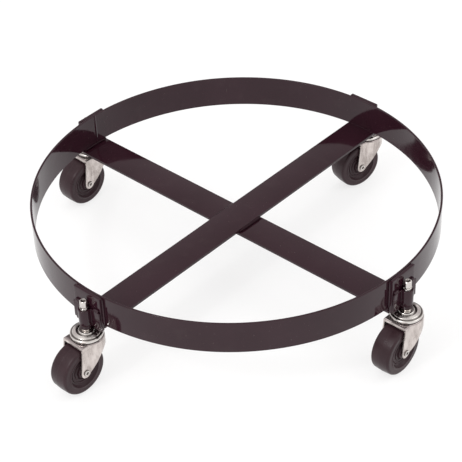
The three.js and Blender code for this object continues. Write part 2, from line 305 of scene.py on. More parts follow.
def wire(tree, node, **sockets):
    """Feeds a node's sockets by name; an underscore stands for a space."""
    for key, value in sockets.items():
        feed(tree, node.inputs[key.replace("_", " ")], value)


def add_node(tree, kind, settings=None, **sockets):
    """A new node with its settings made and its sockets fed."""
    made = tree.nodes.new("ShaderNode" + kind)
    for key, value in (settings or {}).items():
        setattr(made, key, value)
    wire(tree, made, **sockets)
    return made


def math_node(tree, operation, *values):
    """One Math node, such as ADD or MULTIPLY, fed in the order given."""
    made = add_node(tree, "Math", {"operation": operation})
    for socket, value in zip(made.inputs, values):
        feed(tree, socket, value)
    return made.outputs[0]


def squeeze(tree, value, low, high, to_low, to_high):
    """Maps low..high onto to_low..to_high, and holds it there outside."""
    sockets = {"Value": value, "From_Min": low, "From_Max": high, "To_Min": to_low, "To_Max": to_high}
    return add_node(tree, "MapRange", **sockets).outputs[0]


def blend_colours(tree, factor, first, second):
    """first * (1 - factor) + second * factor. Inputs 6 and 7 are the node's two colours."""
    mix = add_node(tree, "Mix", {"data_type": "RGBA"})
    for index, value in ((0, factor), (6, first), (7, second)):
        feed(tree, mix.inputs[index], value)
    return mix.outputs[2]


def noise(tree, place, scale, detail, roughness=0.5):
    """Soft noise, in lumps about 1 / scale of a metre across."""
    sockets = {"Vector": place, "Scale": scale, "Detail": detail, "Roughness": roughness}
    return add_node(tree, "TexNoise", **sockets).outputs[0]


def stretched(tree, place, scale):
    """The same place times scale, so that a pattern is drawn out where scale is small."""
    return add_node(tree, "Mapping", Vector=place, Scale=scale).outputs[0]


def raise_surface(tree, height, distance, strength, under=None):
    """A bump as high as distance, in metres, laid over another bump where one is given."""
    sockets = {"Height": height, "Distance": distance, "Strength": strength}
    if under is not None:
        sockets["Normal"] = under
    return add_node(tree, "Bump", **sockets).outputs[0]


print("node helpers ready")

# %% [markdown]
# ## Glossy black paint
# The frame is sprayed in one coat after welding. The paint is black with a warm plum cast,
# glossy, and shows a fine orange peel. Dust settles as pale specks and a thin haze, and the
# gloss varies where the coat ran thin. A clear coat layer was the other choice, but a single
# smooth layer over steel already mirrors its surroundings the way this one does. The welds
# in the long corners get a darker copy with a weaker mirror, which is painted shade there.

# %% Make the paint
def paint_finish(name, depth=1.0, sheen=1.40):
    """Colour = a cloud between two near blacks, times depth, then haze, then specks; a depth
    below 1 darkens the whole coat as painted shade. Roughness = rubbed streaks + specks. Bump =
    a fine peel under slow sags. sheen is the index of refraction."""
    material, tree, shader = start_finish(name)
    place = add_node(tree, "TexCoord").outputs["Object"]
    deep = (0.0215 * depth, 0.0052 * depth, 0.0100 * depth, 1)
    thin = (0.0270 * depth, 0.0080 * depth, 0.0138 * depth, 1)
    cloud = squeeze(tree, noise(tree, place, 11.0, 3.0), 0.35, 0.65, 0, 1)
    haze = squeeze(tree, noise(tree, place, 34.0, 5.0, 0.6), 0.55, 0.8, 0, 0.05)
    speck = squeeze(tree, noise(tree, place, 760.0, 1.0), 0.79, 0.82, 0, 0.55)
    colour = blend_colours(tree, cloud, deep, thin)
    colour = blend_colours(tree, haze, colour, (0.16, 0.13, 0.12, 1))
    colour = blend_colours(tree, speck, colour, (0.42, 0.36, 0.33, 1))
    rub = noise(tree, stretched(tree, place, (1.0, 1.0, 14.0)), 40.0, 4.0, 0.65)
    gloss = squeeze(tree, rub, 0.3, 0.75, 0.05, 0.13)
    dull = math_node(tree, "ADD", gloss, squeeze(tree, speck, 0, 0.55, 0, 0.3))
    peel = raise_surface(tree, noise(tree, place, 380.0, 2.0), 0.00003, 0.55)
    sag = raise_surface(tree, noise(tree, place, 38.0, 1.0), 0.00035, 0.5, peel)
    wire(tree, shader, Base_Color=colour, Roughness=dull, IOR=sheen, Normal=sag)
    return material


paint = paint_finish("gloss_black_paint")
# A darker copy of the paint with a weaker mirror: painted shade for the welds in the long corners.
corner_shade_paint = paint_finish("corner_shade_black_paint", depth=0.75, sheen=1.22)
print("paints:", paint.name, corner_shade_paint.name)

# %% [markdown]
# ## Zinc plate
# Forks are pressed from steel strip and barrel-plated with zinc. It is pale, soft and
# slightly blotched, with the blotches drawn out up and down, and it carries handling marks
# and grime. A metallic shader gives it the cool sheen, and a cell pattern under a fine noise
# gives the blotches. The crown's top is smoother, with a painted dark reflection on it.

# %% Make the zinc
def zinc_finish(name, crown=False):
    """Colour = blotches between a dark and a pale zinc, then grime. Roughness follows the
    blotches. With crown set, what lies within a millimetre or two of spot height 0 is darker,
    a painted dark reflection, and smoother."""
    material, tree, shader = start_finish(name)
    place = add_node(tree, "TexCoord").outputs["Object"]
    cells = add_node(tree, "TexVoronoi", Vector=place, Scale=150.0).outputs["Color"]
    cell_grey = add_node(tree, "RGBToBW", Color=cells).outputs[0]
    blotch = noise(tree, stretched(tree, place, (1.0, 1.0, 0.30)), 95.0, 5.0, 0.6)
    mixed = math_node(tree, "MULTIPLY_ADD", cell_grey, 0.08, blotch)
    tone = squeeze(tree, mixed, 0.40, 0.66, 0, 1)
    colour = blend_colours(tree, tone, (0.40, 0.350, 0.330, 1), (0.70, 0.635, 0.605, 1))
    grime = squeeze(tree, noise(tree, place, 60.0, 6.0, 0.7), 0.64, 0.80, 0, 0.35)
    colour = blend_colours(tree, grime, colour, (0.28, 0.24, 0.22, 1))
    gloss = squeeze(tree, blotch, 0.3, 0.7, 0.19, 0.38)
    if crown:
        spot = add_node(tree, "Attribute", {"attribute_name": "spot"}).outputs["Vector"]
        height = add_node(tree, "SeparateXYZ", Vector=spot).outputs[2]
        # Painted dark reflection: the crown's flat top is darkened towards a dull grey.
        crown_painted_reflection = squeeze(tree, height, -2.3 * mm, -0.9 * mm, 0, 1)
        colour = blend_colours(tree, crown_painted_reflection, colour, (0.36, 0.315, 0.31, 1))
        gloss = math_node(tree, "MULTIPLY", gloss, squeeze(tree, crown_painted_reflection, 0, 1, 1, 0.5))
    scuff = noise(tree, stretched(tree, place, (9.0, 9.0, 1.0)), 150.0, 3.0, 0.6)
    fine = raise_surface(tree, noise(tree, place, 1200.0, 2.0), 0.00002, 0.5)
    marks = raise_surface(tree, scuff, 0.00004, 0.5, fine)
    wire(tree, shader, Base_Color=colour, Metallic=0.85, Roughness=gloss, Normal=marks)
    return material


zinc = zinc_finish("dull_zinc_plate")
fork_zinc = zinc_finish("fork_zinc_shaded_crown", crown=True)
print("zincs:", zinc.name, fork_zinc.name)

# %% [markdown]
# ## Bright turned steel
# Raceways, stems, rivets and grip rings are smoother, and their marks run round the axis
# because the work turned under the tool. The spot attribute gives the distance from each
# piece's own axis, and a stretched noise read along that distance draws the rings. Each finish
# also takes a list of dark rings, from radius to radius: painted shade and painted dark
# reflections in the hollows, the dished stem top, the rivet ends and under the raceway's step.

# %% Make the bright steel
def bright_finish(name, painted_shade_rings):
    """Colour = a film between two steels, then the rings of painted shade. Each ring = rise at its
    inner radius * fall at its outer one, both given in millimetres. Roughness follows the film."""
    material, tree, shader = start_finish(name)
    place = add_node(tree, "TexCoord").outputs["Object"]
    spot = add_node(tree, "Attribute", {"attribute_name": "spot"}).outputs["Vector"]
    split = add_node(tree, "SeparateXYZ", Vector=spot)
    flat = add_node(tree, "CombineXYZ", X=split.outputs[0], Y=split.outputs[1]).outputs[0]
    distance = add_node(tree, "VectorMath", {"operation": "LENGTH"})
    feed(tree, distance.inputs[0], flat)
    radius = distance.outputs["Value"]
    film = noise(tree, place, 70.0, 4.0, 0.6)
    tone = squeeze(tree, film, 0.35, 0.75, 0, 1)
    colour = blend_colours(tree, tone, (0.74, 0.71, 0.68, 1), (0.52, 0.48, 0.46, 1))
    shade_strength = squeeze(tree, film, 0.25, 0.6, 0.72, 0.95)
    soft = 0.5 * mm
    for inner, outer in painted_shade_rings:
        rise = squeeze(tree, radius, inner * mm - soft, inner * mm + soft, 0, 1)
        fall = squeeze(tree, radius, outer * mm - soft, outer * mm + soft, 1, 0)
        ring = math_node(tree, "MULTIPLY", math_node(tree, "MULTIPLY", rise, fall), shade_strength)
        # Painted shade: each ring darkens the steel towards a near black.
        colour = blend_colours(tree, ring, colour, (0.075, 0.062, 0.058, 1))
    rings_at = add_node(tree, "CombineXYZ", X=radius, Z=split.outputs[2]).outputs[0]
    marks = raise_surface(tree, noise(tree, rings_at, 1700.0, 3.0, 0.6), 0.00003, 0.6)
    gloss = squeeze(tree, film, 0.3, 0.75, 0.10, 0.30)
    wire(tree, shader, Base_Color=colour, Metallic=1.0, Roughness=gloss, Normal=marks)
    return material


bright = bright_finish("bright_steel", [])
# Rings of painted shade and painted dark reflection: the raceway's valley and its brim under the step, the
# stem's dished top, the rivet's drilled hole and the rim of its head.
bright_raceway = bright_finish("bright_raceway_steel", [(11.7, 13.8), (20.0, 22.6)])
bright_stem = bright_finish("bright_stem_steel", [(-1, 3.4)])
rivet_steel = bright_finish("rivet_steel", [(-1, 2.3), (4.3, 6)])
print("steels:", bright.name, bright_raceway.name, bright_stem.name, rivet_steel.name)

# %% [markdown]
# ## Hard rubber
# The wheels are moulded in one piece. Moulded rubber is matte, brownish black, a little paler
# where it has rubbed, and dusty in the hollows. Its grain is far finer than a tread pattern,
# so it belongs in the bump, while the ridges and the mould line are real geometry.

# %% Make the rubber
def rubber_finish():
    """Colour = a cloud between two plum blacks, then dust. Roughness follows the cloud, and
    the bump is a fine grain under a slow drift."""
    material, tree, shader = start_finish("moulded_rubber")
    place = add_node(tree, "TexCoord").outputs["Object"]
    cloud = noise(tree, place, 45.0, 5.0, 0.6)
    rubbed = squeeze(tree, cloud, 0.35, 0.7, 0, 1)
    colour = blend_colours(tree, rubbed, (0.0270, 0.0115, 0.0150, 1), (0.0390, 0.0190, 0.0235, 1))
    dust = squeeze(tree, noise(tree, place, 320.0, 5.0, 0.7), 0.62, 0.82, 0, 0.07)
    colour = blend_colours(tree, dust, colour, (0.17, 0.145, 0.13, 1))
    matte = squeeze(tree, cloud, 0.3, 0.7, 0.27, 0.42)
    grain = raise_surface(tree, noise(tree, place, 900.0, 3.0, 0.6), 0.00006, 0.6)
    drift = raise_surface(tree, noise(tree, place, 120.0, 2.0), 0.00015, 0.4, grain)
    wire(tree, shader, Base_Color=colour, Roughness=matte, IOR=1.33, Normal=drift)
    return material


rubber = rubber_finish()
print("rubber:", rubber.name)

# %% [markdown]
# ## The hoop
# A flat band is rolled on edge and butt-welded once. Rolling leaves it very slightly out of
# round, which is what makes the reflections in real paint drift. A perfect tube would look
# printed, so the radius gets two slow waves of a tenth of a millimetre. The weld is a low
# ridge on the inside, hidden behind an end plate on the outside.

# %% Roll the hoop
hoop_thickness = 3.2 * mm
weld_at = math.radians(134.4)


def bell(distance, width):
    """exp(-(distance / width)^2): 1 in the middle, and gone within three widths."""
    return np.exp(-((distance / width) ** 2))


def rolled_hoop():
    """point = (R + offset + slow waves) round the axis. The inner face also swells inwards by
    a bell of the distance from the weld, with a shallow groove beside it."""
    even = np.linspace(0, 2 * np.pi, 420, endpoint=False)
    near_weld = weld_at + np.linspace(-1, 1, 31) * 0.014
    a = np.sort(np.concatenate([even, near_weld]))[None, :]
    waves = 0.10 * mm * np.sin(5 * a + 0.4) + 0.06 * mm * np.sin(11 * a + 2.0) - 0.16 * mm
    box = np.array([[-hoop_thickness, 0], [0, 0], [0, hoop_height], [-hoop_thickness, hoop_height]])
    section = soften(box, 0.7 * mm, steps=3)
    heights_up = np.linspace(1.2 * mm, hoop_height - 1.2 * mm, 9)
    inner = np.stack([np.full(9, -hoop_thickness), heights_up[::-1]], axis=1)
    outer = np.stack([np.zeros(9), heights_up], axis=1)
    section = np.concatenate([section[:8], outer, section[8:], inner])
    offset, height = section[:, :1], section[:, 1:]
    from_weld = (a - weld_at) * hoop_radius + 0.25 * mm * np.sin(height / (2.3 * mm))
    inside = offset < -0.5 * hoop_thickness
    swell = 0.9 * mm * bell(from_weld, 1.1 * mm) * inside
    groove = 0.35 * mm * bell(from_weld - 2.2 * mm, 0.6 * mm) * inside
    radius = hoop_radius + offset + waves - swell + groove
    grid = np.stack([radius * np.cos(a), radius * np.sin(a), hoop_bottom + height + 0 * a], axis=-1)
    return grid, weave(len(section), a.shape[1], close_rows=True), grid


make_piece("hoop_band", [rolled_hoop()], paint, "frame", ["hoop"])

# %% [markdown]
# ## The crossed bars
# Flat bar comes hot-rolled with rounded edges. One bar passes straight over the other, so
# they lie at two heights. Each is a rounded rectangle carried along a line, and the line is
# given slow waves of a few hundredths of a millimetre, so its reflections bend as they do in
# real bar.

# %% Lay the two bars
bar_width = 50.8 * mm


def flat_bar(node, degrees):
    """A strap along a straight line through the axis, which rises and falls by two sines."""
    low, high = heights(node)
    thickness = high - low
    middle = np.array([0, 0, (low + high) / 2])
    angle = math.radians(degrees)
    along = np.array([math.cos(angle), math.sin(angle), 0])
    reach = hoop_radius - 0.2 * mm
    t = np.linspace(-1, 1, 81)[:, None]
    ripple = 0.05 * mm * np.sin(9 * t + degrees) + 0.04 * mm * np.sin(4 * t)
    path = middle + along * t * reach + up * ripple
    print(node, "length", round(2 * reach, 4), "thickness", round(thickness, 5))
    return strap(path, np.cross(up, along), up, bar_width, thickness - 0.1 * mm, edge=0.7 * mm)


make_piece("cross_bar_over", [flat_bar("cross_bar_upper", 45)], paint, "frame", ["cross_bar_upper"])
make_piece("cross_bar_under", [flat_bar("cross_bar_lower", -45)], paint, "frame", ["cross_bar_lower"])

# %% [markdown]
# ## End plates
# An upright plate closes each bar end. It stands flat against the outside of the hoop, level
# with the hoop's top, and hangs a little below the bar, with its lower corners rounded.
# The plate is its outline carried through its thickness: rows of the same outline, drawn in
# at the edges, and shrunk to a point in the middle of each face.

# %% Cut the end plates
plate_thickness = 4.8 * mm
plate_edge = 0.7 * mm
plate_corner = 6 * mm
plate_gap = 0.3 * mm
plate_inside = hoop_radius + plate_gap
plate_face = plate_inside + plate_thickness


def plate_outline(drop):
    """A rectangle from drop below the hoop's foot to its top, with its corners softened and
    its points spread evenly all the way round."""
    half = bar_width / 2
    shape = [[half, hoop_height], [-half, hoop_height], [-half, -drop], [half, -drop]]
    outline = soften(shape, [0.8 * mm, 0.8 * mm, plate_corner, plate_corner], steps=8)
    return resample(np.concatenate([outline, outline[:1]]), 121)[:-1]


def slab(outline, foot, across, rise, out, thickness):
    """Row k is the outline drawn in by inset_k at depth d_k through the thickness; the first
    and last rows shrink to the outline's middle, which closes both faces."""
    middle = outline.mean(axis=0)
    tangent = unit(np.roll(outline, -1, 0) - np.roll(outline, 1, 0))
    inward = np.stack([-tangent[:, 1], tangent[:, 0]], axis=1)
    inward *= np.sign(np.sum(inward * (middle - outline)))
    t = np.linspace(0, np.pi / 2, 5)
    inset = plate_edge * (1 - np.sin(t))
    depth = plate_edge * (1 - np.cos(t))
    inset = np.concatenate([inset, inset[::-1]])[:, None, None]
    rings = outline + inward * inset
    shrink = np.array([0.0, 0.45, 0.8])[:, None, None]
    back = middle + (rings[:1] - middle) * shrink
    front = middle + (rings[-1:] - middle) * shrink[::-1]
    flat = np.concatenate([back, rings, front])
    depth = np.concatenate([np.zeros(3), depth, thickness - depth[::-1], np.full(3, thickness)])
    depth = depth[:, None, None] + 0 * flat[..., :1]
    grid = foot + flat[..., :1] * across + flat[..., 1:] * rise + depth * out
    return grid, weave(len(flat), len(outline)), np.concatenate([flat, depth], axis=-1)


for name, at in corners.items():
    low = heights("end_plate_" + name)[0]
    foot = at["outward"] * plate_inside + up * hoop_bottom
    plate = slab(plate_outline(hoop_bottom - low), foot, at["beside"], up, at["outward"], plate_thickness)
    make_piece("end_plate_skin_" + name, [plate], paint, "frame", ["end_plate_" + name])

# %% [markdown]
# ## Stem sockets
# A strip of steel is pressed into a hat section: two flanges lie flat on the end plate, and
# the bulge between them is the socket that the caster's stem drops into. Seen from above it
# is one bent line, so it is a strap that stands on edge and follows that line.

# %% Press the sockets
socket_thickness = 3.0 * mm
socket_bore = 6.0 * mm


def hat_line(stem_out):
    """Flange, bend, half circle about the stem, bend, flange, in (outward, beside)."""
    flange = plate_face + plate_gap + socket_thickness / 2
    ring = socket_bore + socket_thickness / 2
    corner = [[flange, -bar_width / 2], [flange, -ring], [stem_out, -ring]]
    left = soften(corner, 3.4 * mm, steps=8, closed=False)
    a = np.linspace(-np.pi / 2, np.pi / 2, 33)
    arc = np.stack([stem_out + ring * np.cos(a), ring * np.sin(a)], axis=1)
    return resample(np.concatenate([left, arc[1:-1], left[::-1] * [1, -1]]), 110)


def hat_strap(at, low, high):
    """The hat line at the socket's middle height, with a strap standing on edge along it."""
    line = hat_line(at["stem"] @ at["outward"])
    path = line[:, :1] * at["outward"] + line[:, 1:] * at["beside"] + up * (low + high) / 2
    out = np.cross(up, unit(np.gradient(path, axis=0)))
    return strap(path, up, out, high - low, socket_thickness - 0.1 * mm, edge=0.9 * mm)


for name, at in corners.items():
    hat = hat_strap(at, *heights("stem_socket_" + name))
    make_piece("stem_socket_skin_" + name, [hat], paint, "frame", ["stem_socket_" + name])

# %% [markdown]
# ## Socket collars
# Under each socket sits a short collar with a rolled lower edge, painted with the frame. Its
# back is flattened where it meets the end plate. A turned ring does it, with every point
# that would pass behind the plate's face held on that face.

# %% Turn the collars
collar_inner = 5.9 * mm
collar_outer = 8.6 * mm
collar_neck = 7.7 * mm


def held_ring(at, low, high):
    """A turned ring whose points are kept at least a plate gap in front of the plate."""
    outline = [[collar_inner, low], [collar_outer - 1.2 * mm, low],
               [collar_outer, low + 2.0 * mm], [collar_outer, low + 3.2 * mm],
               [collar_neck, low + 3.9 * mm], [collar_neck, high], [collar_inner, high]]
    trims = np.array([0.4, 1.4, 1.6, 0.6, 0.5, 0.4, 0.4]) * mm
    profile = soften(outline, trims, steps=5)
    grid, faces, spot = turned(profile, at["stem"], up, at["outward"], turns=56)
    behind = np.maximum(plate_face + plate_gap - grid @ at["outward"], 0)
    return grid + behind[..., None] * at["outward"], faces, spot


for name, at in corners.items():
    ring = held_ring(at, *heights("collar_" + name))
    make_piece("collar_skin_" + name, [ring], paint, "frame", ["collar_" + name])

# %% [markdown]
# ## Welds
# Welds are what hold the frame together, and under gloss paint they read as fat, rippled,
# shiny lumps. On each socket a short bead runs along the top and bottom of both flanges. Two
# beads close the corner where one bar crosses the other, and beads tie the bars, the plates
# and the hoop together. They move with the frame and stand for no solid.

# %% Weld the sockets to their plates
flange_weld = (13.5 * mm, 22.6 * mm)


def at_plate(at, out, beside, height):
    """point = outward * out + beside * beside + up * height, for one corner."""
    return at["outward"] * out + at["beside"] * beside + up * height


for name, at in corners.items():
    low, high = heights("stem_socket_" + name)
    top_row = (high + 0.6 * mm, 2.9 * mm, 0.9 * mm)
    foot_row = (low - 0.4 * mm, 2.6 * mm, -0.8 * mm)
    beads = []
    for side in (-1, 1):
        for height, size, bow in (top_row, foot_row):
            start, end = (at_plate(at, plate_face + 1.1 * mm, side * d, height) for d in flange_weld)
            beads.append(bead(seam(start, end, 36, up * bow), at["outward"], size, 0.05, 3.0 * mm))
    make_piece("socket_welds_" + name, beads, paint, "frame", sharp=60)

# %% Weld the crossing, and the bars to the hoop
def cross_beads():
    """One bead on each side of the upper bar, along the corner it makes with the lower one."""
    low = heights("cross_bar_upper")[0]
    along = np.array([1, 1, 0]) / math.sqrt(2)
    across = np.array([-1, 1, 0]) / math.sqrt(2)
    reach = along * 23.6 * mm
    beads = []
    for side in (-1, 1):
        middle = across * side * (bar_width / 2 + 0.4 * mm) + up * (low + 1.3 * mm)
        beads.append(bead(seam(middle - reach, middle + reach, 150), up, 2.9 * mm, 0.04, 2.9 * mm))
    return beads


def hoop_beads(node, degrees, radius, size):
    """A bead of this size at both ends of a bar, over most of the bar's width. Its path is an
    arc of this radius round the hoop's own centre, so the bead bends with the band."""
    top = heights(node)[1]
    reach = math.asin(0.94 * bar_width / 2 / hoop_radius)
    beads = []
    for heading in (degrees, degrees + 180):
        a = math.radians(heading) + np.linspace(-reach, reach, 130)
        height = 0 * a + (top + hoop_bottom) / 2
        arc = np.stack([radius * np.cos(a), radius * np.sin(a), height], axis=1)
        beads.append(bead(arc, up, size, 0.06, 2.4 * mm))
    return beads


inner_foot = hoop_radius - hoop_thickness
# The crossing and foot welds wear the darker paint, which is painted shade for these corners.
make_piece("cross_welds", cross_beads(), corner_shade_paint, "frame", sharp=60)
upper_foot = hoop_beads("cross_bar_upper", 45, inner_foot - 0.1 * mm, 0.9 * mm)
lower_foot = hoop_beads("cross_bar_lower", -45, inner_foot + 1.3 * mm, 2.0 * mm)
make_piece("hoop_foot_welds", upper_foot + lower_foot, corner_shade_paint, "frame", sharp=60)

# %% Weld the plates to the hoop and the bar ends
for name, at in corners.items():
    low = heights("end_plate_" + name)[0]
    beads = []
    for side in (-1, 1):
        place = (hoop_radius - 0.2 * mm, side * (bar_width / 2 - 0.2 * mm))
        start = at_plate(at, *place, hoop_bottom + 1.6 * mm)
        end = at_plate(at, *place, hoop_bottom + hoop_height - 1.6 * mm)
        beads.append(bead(seam(start, end, 120), at["outward"], 1.6 * mm, 0.05, 3.1 * mm))
    under = at_plate(at, plate_inside - 1.4 * mm, 0, low + 3.4 * mm)
    reach = at["beside"] * 20 * mm
    beads.append(bead(seam(under - reach, under + reach, 110), up, 1.9 * mm, 0.08, 2.4 * mm))
    make_piece("plate_welds_" + name, beads, paint, "frame", sharp=60)

# %% [markdown]
# ## Stems and grip rings
# The stem is a turned pin with a flange just under its collar. It stands well above its
# socket, and a split spring ring in a groove near the top snaps open over the socket's mouth
# and keeps the caster from dropping out when the dolly is lifted. The top of the stem is
# dished, as a cold-headed pin's is.

# %% Turn the stems
def stem_profile(low, high, mouth):
    """The pin from the rivet head under the fork up to the dished top. mouth is the height
    of the socket's top, where the groove starts."""
    pin, shank, groove, flange, head = 4.5 * mm, 5.55 * mm, 4.55 * mm, 6.4 * mm, 6.35 * mm
    flange_foot = hoop_bottom - 10.4 * mm
    flange_top = hoop_bottom - 7.5 * mm
    foot = [[0, low], [5.2 * mm, low], [head, low + 1.0 * mm], [head, low + 1.9 * mm],
            [pin, low + 1.9 * mm], [pin, flange_foot], [flange, flange_foot],
            [flange, flange_top], [shank, flange_top], [shank, mouth]]
    grooved = [[groove, mouth + 0.3 * mm], [groove, mouth + 3.6 * mm], [shank, mouth + 3.9 * mm]]
    dished = [[shank, high - 1.1 * mm], [shank - 1.1 * mm, high], [3.5 * mm, high],
              [3.1 * mm, high - 0.9 * mm], [2.4 * mm, high - 1.6 * mm], [0, high - 1.8 * mm]]
    return soften(foot + grooved + dished, 0.45 * mm, steps=3, closed=False)


for name, at in corners.items():
    mouth = heights("stem_socket_" + name)[1]
    profile = stem_profile(*heights("stem_" + name), mouth)
    pin = turned(profile, at["stem"], up, at["ahead"], turns=48, closed=False)
    make_piece("stem_skin_" + name, [pin], bright_stem, "frame", ["stem_" + name])

# %% Bend the grip rings
def split_ring(at, low, high):
    """A rounded section carried round the stem from one lip of the slot to the other."""
    half_slot = math.radians(20)
    a = np.linspace(half_slot, 2 * np.pi - half_slot, 60)[:, None]
    ray = np.cos(a) * at["ahead"] + np.sin(a) * np.cross(up, at["ahead"])
    path = at["stem"] + ray * 5.55 * mm + up * (low + high) / 2
    return strap(path, up, ray, high - low, 1.45 * mm, edge=0.65 * mm)


for name, at in corners.items():
    ring = split_ring(at, *heights("grip_ring_" + name))
    make_piece("grip_ring_skin_" + name, [ring], bright, "frame", ["grip_ring_" + name])

# %% [markdown]
# ## Raceways and balls
# The upper raceway is a polished pressing: a flat boss round the stem, a narrow valley, a
# broad crest that slopes outwards, and a lower brim whose hollow underside runs on the balls.
# Below the fork's crown a smaller cup pulls up on it. The balls really are separate, so each
# is a small sphere, with few faces because there are over a hundred.

# %% Turn the raceways and lower cups
def raceway_profile():
    """Top side outwards: boss, valley, crest, brim, skirt; then back along the underside.
    Written in millimetres, with heights from the hoop's foot."""
    boss = [[4.8, -10.7], [11.0, -10.7]]
    valley = [[12.1, -12.6], [13.2, -12.8], [14.2, -11.8]]
    crest = [[15.2, -11.5], [19.6, -12.8]]
    brim = [[20.4, -13.9], [23.1, -14.8], [23.95, -15.8]]
    skirt = [[23.95, -18.0], [22.4, -18.0], [22.4, -16.2]]
    under = [[21.2, -14.9], [20.4, -14.4], [11.0, -14.4], [10.0, -12.5], [4.8, -12.5]]
    outline = np.array(boss + valley + crest + brim + skirt + under) * mm + [0, hoop_bottom]
    trims = [0.3, 0.6, 0.6, 0.5, 0.5, 0.8, 0.5, 0.35, 0.6, 0.8, 0.3, 0.3, 0.5, 0.5, 0.4, 0.8, 0.6, 0.3]
    return soften(outline, np.array(trims) * mm)


def cup_profile(low, high):
    """A flat disc of 1.5 mm sheet round the stem, with its rim turned up to the crown."""
    disc, inner = low + 1.5 * mm, 4.8 * mm
    outside = [[inner, low], [11.9 * mm, low], [13.4 * mm, low + 1.2 * mm], [14.6 * mm, high]]
    inside = [[13.0 * mm, high], [11.7 * mm, low + 2.0 * mm], [10.9 * mm, disc], [inner, disc]]
    return soften(outside + inside, 0.5 * mm, steps=3)


for name, at in corners.items():
    race = turned(raceway_profile(), at["stem"], up, at["ahead"], turns=96)
    make_piece("raceway_skin_" + name, [race], bright_raceway, "frame", ["raceway_" + name])
    cup = turned(cup_profile(*heights("lower_cup_" + name)), at["stem"], up, at["ahead"], turns=56)
    make_piece("lower_cup_skin_" + name, [cup], zinc, "frame", ["lower_cup_" + name])

# %% Drop in the balls
balls_each = 26
ball_circle = 19.6 * mm


def ball_ring(at, low, high):
    """Every ball is the same small sphere grid, moved to its own place on the ball circle."""
    theta = np.linspace(0, np.pi, 7)[:, None]
    phi = np.linspace(0, 2 * np.pi, 10, endpoint=False)[None]
    ball = [np.sin(theta) * np.cos(phi), np.sin(theta) * np.sin(phi), np.cos(theta) + 0 * phi]
    ball = (high - low) / 2 * np.stack(ball, axis=-1)
    a = np.linspace(0, 2 * np.pi, balls_each, endpoint=False)
    centre = at["stem"] + up * (low + high) / 2
    places = centre + ball_circle * np.stack([np.cos(a), np.sin(a), 0 * a], axis=1)
    return [(place + ball, weave(7, 10), ball) for place in places]


for name, at in corners.items():
    balls = ball_ring(at, *heights("ball_row_" + name))
    make_piece("balls_" + name, balls, bright, "frame", ["ball_row_" + name], sharp=80)

# %% [markdown]
# ## Forks
# The fork is one deep pressing. Its crown is round behind and square in front, the skirt
# wraps round the back, and the sides run down into two legs that reach forward to the axle.
# A box with holes cut in it would have hard edges, so the sheet's outer surface is worked
# out in strips that share their edges, and Solidify then gives it its thickness inwards.
#
# The side panel is a fan between two curves, both laid out flat as (distance along the
# outline, height): the crown's edge above, and the panel's own lower edge below, which runs
# from the toe, round the axle, up the sloping heel and along the skirt. Flat distances are
# then wrapped onto the outline seen from above. Heights are measured from the crown's top.

# %% Lay out the fork's outline and its lower edge
crown_radius = 24.9 * mm
fork_half = 19.55 * mm
crown_front = 26.9 * mm
shoulder = 2.6 * mm
leg_round = 8.5 * mm
side_turns = math.acos(fork_half / crown_radius)
side_length = crown_front - crown_radius * math.sin(side_turns)
outline_length = side_length + (math.pi / 2 + side_turns) * crown_radius
print("fork outline, from its front corner to the middle of its back:", round(outline_length, 4))


def wrap_outline(distance):
    """Distance 0 is the crown's front corner: first straight back along the side, then round
    the circle to the middle of the back. Negative distances run forward of the corner."""
    swept = math.pi / 2 - side_turns + np.maximum(distance - side_length, 0) / crown_radius
    swept = np.minimum(swept, math.pi)
    on_side = distance <= side_length
    ahead = np.where(on_side, crown_front - distance, crown_radius * np.cos(swept))
    side = np.where(on_side, fork_half, crown_radius * np.sin(swept))
    return ahead, side


def lower_edge(axle_drop, trail, count):
    """The panel's lower edge from the toe to the middle of the back: an arc round the axle,
    then the heel's few corners, softened."""
    a = np.radians(np.linspace(2, -150, 30))
    across = crown_front - trail - leg_round * np.cos(a)
    toe = np.stack([across, -axle_drop + leg_round * np.sin(a)], axis=1)
    heel = np.array([
        [crown_front + 1.0 * mm, -26.5 * mm],
        [crown_front + 9.5 * mm, -18.2 * mm],
        [crown_front + 17 * mm, -15.4 * mm],
        [outline_length, -14.9 * mm],
    ])
    bend = soften(np.concatenate([toe[-1:], heel]), 6 * mm, steps=8, closed=False)
    return resample(np.concatenate([toe, bend[1:]]), count)


# %% Work out the fork's sheet
def side_panel(axle_drop, trail, count, rows):
    """point = (1 - b) * top + b * lower edge, laid out flat, then wrapped on the outline."""
    edge = lower_edge(axle_drop, trail, count)
    t = np.linspace(0, 1, count)
    top = np.stack([t**1.15 * outline_length, np.full(count, -shoulder)], axis=1)
    b = np.concatenate([[0, 0.027], np.linspace(0.053, 1, rows - 2)])[:, None, None]
    flat = (1 - b) * top + b * edge
    ahead, side = wrap_outline(flat[..., 0])
    return np.stack([ahead, side, flat[..., 1]], axis=-1)


def crown_disc(loop):
    """Outwards over the crown, point = (1 - s) * hole + s * inner, dipping by a bell over the
    balls; then round a quarter bend from inner to the loop, down by the shoulder."""
    far = np.linalg.norm(loop, axis=1, keepdims=True)
    hole = 5.3 * mm * loop / far
    inner = loop * (1 - shoulder / far)
    s = np.linspace(0, 1, 9)[:, None, None]
    disc = (1 - s) * hole + s * inner
    seat = np.linalg.norm(disc, axis=-1, keepdims=True)
    groove = -0.45 * mm * bell(seat - ball_circle, 1.8 * mm)
    disc = np.concatenate([disc, groove * (s < 0.999)], axis=-1)
    q = np.linspace(0, np.pi / 2, 7)[1:, None, None]
    bend = inner + (loop - inner) * np.sin(q)
    bend = np.concatenate([bend, -shoulder * (1 - np.cos(q)) + 0 * bend[..., :1]], axis=-1)
    return np.concatenate([disc, bend])


